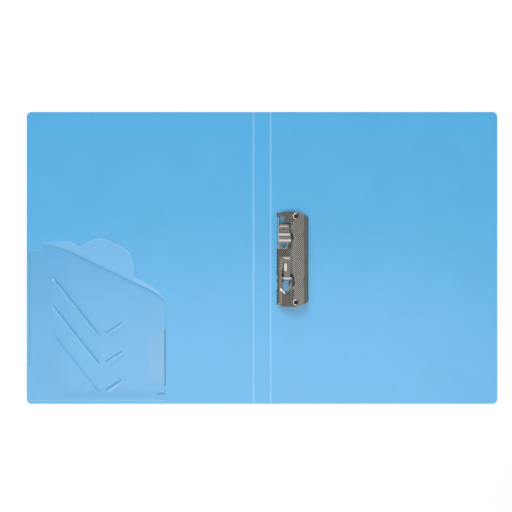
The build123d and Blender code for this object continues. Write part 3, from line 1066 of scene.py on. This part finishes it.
class FOLDER_OT_base(bpy.types.Operator):
    """Builds the clip's base with its knuckles and ears, and finishes its turned and wire parts."""
    bl_idname = "folder.base"
    bl_label = "Clip base and pins"

    def execute(self, context):
        clip = context.scene.clip
        plated = plating("base_steel", clip, BASE_ROUGHNESS, False)
        base = copied("base_plate", "clip_base")
        softened(base, BURR * MM, angle=50)
        finished(base, "clip_base", "back_cover", ["base_plate"], plated,
                 angle=35)
        for finish, names in (
                ("wire_steel", ("upper_spring", "lower_spring")),
                ("pin_steel_finish", ("hinge_rod", "lever_pin")),
                ("rivet_finish", ("upper_rivet", "lower_rivet"))):
            material = steel_finish(finish)
            for name in names:
                NODES[name].material_slots[0].material = material
        return {"FINISHED"}


class FOLDER_OT_jaw(bpy.types.Operator):
    """Builds the embossed clamping plate."""
    bl_idname = "folder.jaw"
    bl_label = "Clamping plate"

    def execute(self, context):
        clip = context.scene.clip
        steel = plating("jaw_steel", clip, clip.roughness, True)
        jaw = copied("clamp_plate", "clip_jaw")
        emboss(jaw, BentLine(JAW_LINE, False), JAW_START, clip.emboss_depth / MM, near=0.6)
        for vertex in jaw.data.vertices:
            for shape in (ease_end, roll_edge, raise_rim, dimple):
                shape(vertex.co)
        finished(jaw, "clip_jaw", "clamp_plate", ["clamp_plate"], steel,
                 angle=60)
        for name in ("jaw_front", "jaw_worn", "jaw_crown"):
            jaw.data.materials.append(steel_finish(name))
        for face in jaw.data.polygons:
            face.material_index = self.finish(face)
        return {"FINISHED"}

    def finish(self, face):
        """The finish of a face: 1 on the front, 2 for the painted highlight on a bevel and round
        the holes, 3 for the painted highlight by the crown, 0 elsewhere.
        """
        u, v = on_clip(face.center)
        if u > JAW_LINE[1][0]:
            return 1
        # A bevel beside the pivot window and the rims round the holes get a painted highlight.
        across, inside = beside(u, v, *PAINTED_HIGHLIGHT_LINE)
        if abs(across) < PAINTED_HIGHLIGHT_HALF and inside > -0.3 and face.normal.z > 0.3:
            return 2
        reach, past = RIM_PAINTED_HIGHLIGHT
        if from_hole(u, v) < reach and face.normal.z > 0.2 and u - HOLE_U < past:
            return 2
        # Faces by the crown get a painted highlight.
        by_crown = CROWN_SPAN[0] < u < CROWN_SPAN[1] and GENTLE_LOWER[1] < v < GENTLE_UPPER[1]
        return 3 if by_crown else 0


class FOLDER_OT_lever(bpy.types.Operator):
    """Builds the embossed lever with its ribs, bead and half-moon hole."""
    bl_idname = "folder.lever"
    bl_label = "Lever"

    def execute(self, context):
        clip = context.scene.clip
        steel = plating("lever_steel", clip, clip.roughness, True)
        lever = copied("lever", "clip_lever")
        emboss(lever, BentLine(LEVER_LINE, True), LEVER_START, clip.emboss_depth / MM,
               near=0.3, turned=0.9)
        left = corners(lever)[0].x
        for vertex in lever.data.vertices:
            share = (on_clip(vertex.co)[1] - TAPER_SPAN[0]) / (TAPER_SPAN[1] - TAPER_SPAN[0])
            if share > 0:
                vertex.co.x = left + (vertex.co.x - left) * (1 - TAPER * share)
        finished(lever, "clip_lever", "lever", ["lever"], steel, angle=60)
        # The ribs, bead, ridge and hood get a painted highlight.
        lever.data.materials.append(steel_finish("lever_ribs"))
        for face in lever.data.polygons:
            face.material_index = int(self.is_painted_highlight(face))
        return {"FINISHED"}

    def is_painted_highlight(self, face):
        """True for a face that gets the painted highlight: ribs, bead, ridge and hood."""
        u, v = on_clip(face.center)
        height = face.center.z / MM
        if face.normal.z < 0.1:
            return False
        on_rib = height > RIB_FLOOR and any(abs(v - rib) < RIB_HALF for rib in RIB_PLACES)
        on_bead = abs(u - BEAD_SPOT[0]) < BEAD_HALF[0] and abs(v - BEAD_SPOT[1]) < BEAD_HALF[1]
        on_strap = RIDGE_SPAN[0] < v < RIDGE_SPAN[1] or HOOD_SPAN[0] < v < HOOD_SPAN[1]
        return on_rib or (on_bead and height > BEAD_FLOOR) or on_strap


# Stage. The floor's own light grows between two distances from its middle, in metres
FLOOR_SIZE = 12
FLOOR_DROP = 0.0002
NEAR_FLOOR = 0.45
FAR_FLOOR = 2.2
# Each lamp's place, width and height, in metres
KEY_LAMP = ((-0.9, 3.4, 3.3), 3.1, 2.0)
SHEEN_LAMP = ((0.0, -0.33, 1.62), 1.3, 0.58)
SENSOR_WIDTH = 36.0


class FOLDER_OT_stage(bpy.types.Operator):
    """Builds the floor, the lamps, the world and the camera."""
    bl_idname = "folder.stage"
    bl_label = "Stage"

    def execute(self, context):
        stage = context.scene.folder_stage
        self.floor(stage)
        self.world(context.scene, stage)
        self.lamp("key", *KEY_LAMP, stage.key_power)
        self.lamp("sheen", *SHEEN_LAMP, stage.sheen_power)
        self.camera(context.scene, stage)
        context.scene.view_settings.view_transform = "Standard"
        return {"FINISHED"}

    def floor(self, stage):
        """A pale floor that shines by itself towards the camera, and more so far away."""
        clear_selection()
        bpy.ops.mesh.primitive_plane_add(size=FLOOR_SIZE, location=(0, 0, -FLOOR_DROP))
        floor = bpy.context.object
        floor.name = "floor"
        material, tree, shader = new_material("floor")
        place = node(tree, "ShaderNodeTexCoord", {}, "Object")
        away = node(tree, "ShaderNodeVectorMath", {0: place}, "Value", operation="LENGTH")
        far = node(tree, "ShaderNodeMapRange", {
            "Value": away, "From Min": NEAR_FLOOR, "From Max": FAR_FLOOR,
            "To Min": stage.floor_lift}, interpolation_type="SMOOTHSTEP")
        seen = ray_kinds(tree, "Is Camera Ray", "Is Glossy Ray")
        feed(tree, shader, {
            "Base Color": (*stage.floor_colour, 1),
            "Roughness": 0.9,
            "Specular IOR Level": 0.0,
            "Emission Color": (1, 1, 1, 1),
            "Emission Strength": maths(tree, "MULTIPLY", seen, far)})
        floor.data.materials.append(material)

    def world(self, scene, stage):
        """Dim light from all round, which looks white to the camera and in mirrors."""
        scene.world = bpy.data.worlds.new("studio")
        scene.world.use_nodes = True
        tree = scene.world.node_tree
        shown = ray_kinds(tree, "Is Camera Ray", "Is Glossy Ray", "Is Transmission Ray")
        level = node(tree, "ShaderNodeMapRange", {
            "To Min": stage.world_level, "To Max": 1.0, "Value": shown})
        feed(tree, tree.nodes["Background"], {"Color": (1, 1, 1, 1), "Strength": level})

    def camera(self, scene, stage):
        """A camera straight above the folder."""
        data = bpy.data.cameras.new("camera")
        camera = bpy.data.objects.new("camera", data)
        scene.collection.objects.link(camera)
        camera.location = (stage.camera_x, stage.camera_y, stage.camera_height + SHEET * MM)
        data.sensor_width = SENSOR_WIDTH
        data.lens = SENSOR_WIDTH * stage.camera_height / stage.frame_width
        data.clip_start = 0.01
        data.clip_end = 50
        scene.camera = camera

    def lamp(self, name, place, width, height, power):
        """A soft rectangular lamp that points at the middle of the folder."""
        clear_selection()
        bpy.ops.object.light_add(type="AREA", location=place)
        lamp = bpy.context.object
        lamp.name = name
        lamp.data.shape = "RECTANGLE"
        lamp.data.size = width
        lamp.data.size_y = height
        lamp.data.energy = power
        lamp.rotation_euler = (Vector() - Vector(place)).to_track_quat("-Z", "Y").to_euler()


class FOLDER_PT_parts(bpy.types.Panel):
    """Lists the folder's pieces in the sidebar of the 3D view."""
    bl_label = "Folder"
    bl_idname = "FOLDER_PT_parts"
    bl_space_type = "VIEW_3D"
    bl_region_type = "UI"
    bl_category = "Folder"

    def draw(self, context):
        for operator in OPERATORS:
            self.layout.operator(operator.bl_idname)
        for name in GROUPS:
            group = getattr(context.scene, name)
            box = self.layout.box()
            for key in group.bl_rna.properties.keys():
                if key not in ("rna_type", "name"):
                    box.prop(group, key)


OPERATORS = (
    FOLDER_OT_stage, FOLDER_OT_covers, FOLDER_OT_creases, FOLDER_OT_pocket, FOLDER_OT_base,
    FOLDER_OT_jaw, FOLDER_OT_lever)
GROUPS = {"folder": FolderSettings, "pocket": PocketSettings, "clip": ClipSettings,
          "folder_stage": StageSettings}
CLASSES = (*GROUPS.values(), *OPERATORS, FOLDER_PT_parts)


def register():
    for each in CLASSES:
        bpy.utils.register_class(each)
    for name, group in GROUPS.items():
        setattr(bpy.types.Scene, name, PointerProperty(type=group))


def unregister():
    for name in GROUPS:
        delattr(bpy.types.Scene, name)
    for each in reversed(CLASSES):
        bpy.utils.unregister_class(each)


def main():
    register()
    for operator in OPERATORS:
        group, name = operator.bl_idname.split(".")
        getattr(getattr(bpy.ops, group), name)()
    clear_selection()


if __name__ == "__main__":
    main()
